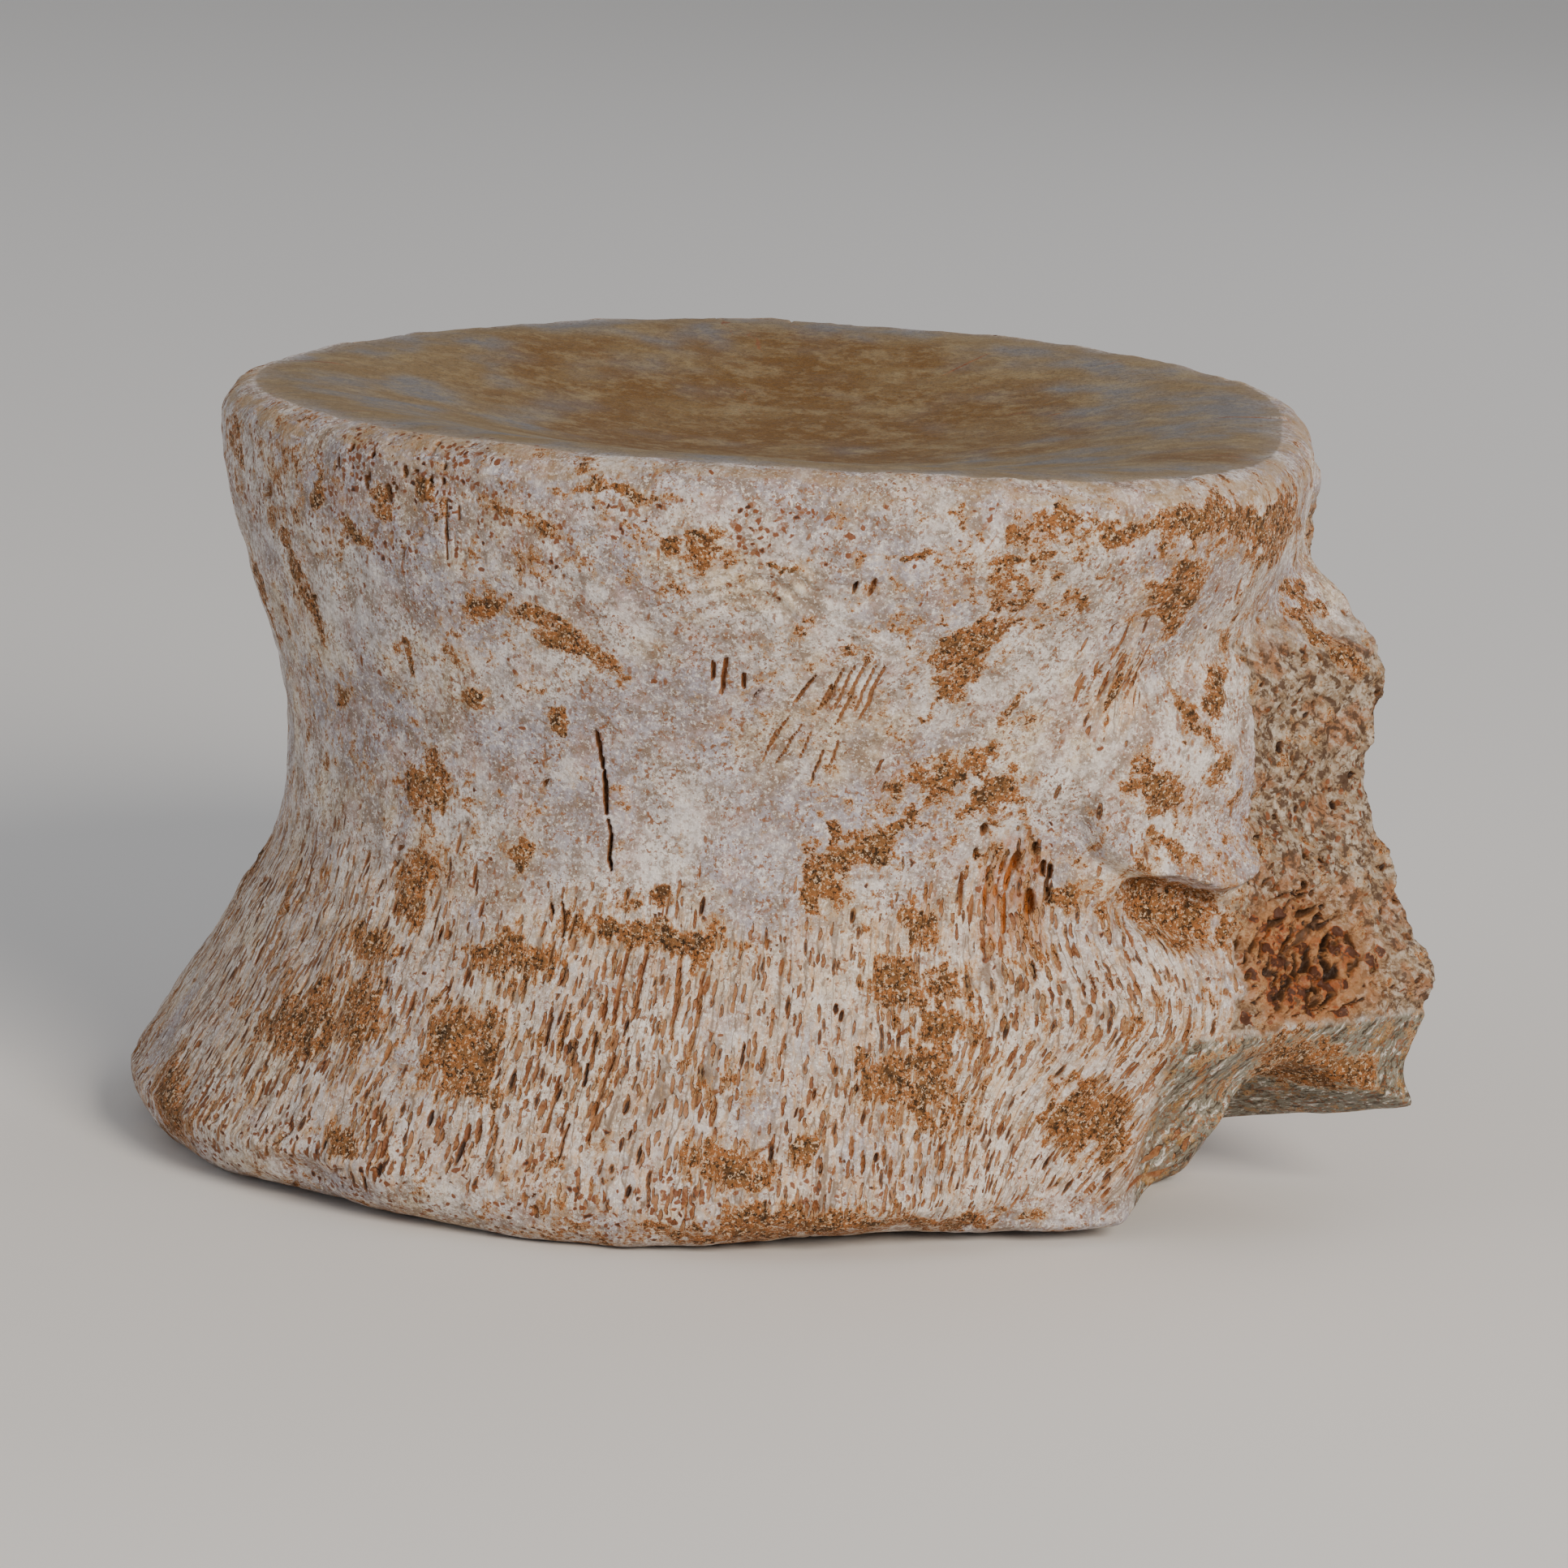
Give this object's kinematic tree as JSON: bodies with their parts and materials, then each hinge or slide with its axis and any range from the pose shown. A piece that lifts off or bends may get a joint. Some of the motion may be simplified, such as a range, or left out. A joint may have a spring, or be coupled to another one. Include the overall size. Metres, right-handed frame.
{
  "type": "fossil plesiosaur vertebra",
  "caption": "Spool-shaped fossil vertebra centrum of a plesiosaur, standing on its lower articular face, with broken neural arch stumps on one side.",
  "frame": {"origin": "bottom centre of the bone's bounding box, on the surface it stands on", "axes": "+Z along the axis of the body, from the lower articular face to the upper; +X dorsal, towards the broken neural arch; -Y the side nearest the camera"},
  "size_m": [0.1006, 0.09, 0.0586],
  "materials": {
    "fossil_bone": "matt fossil bone, pale grey-white with ochre sediment in its pores",
    "broken_bone": "rough broken spongy bone, pinkish tan"
  },
  "bodies": {
    "root": {"centrum": "fossil_bone", "near_pedicle": "broken_bone", "far_pedicle": "broken_bone"}
  },
  "joints": []
}
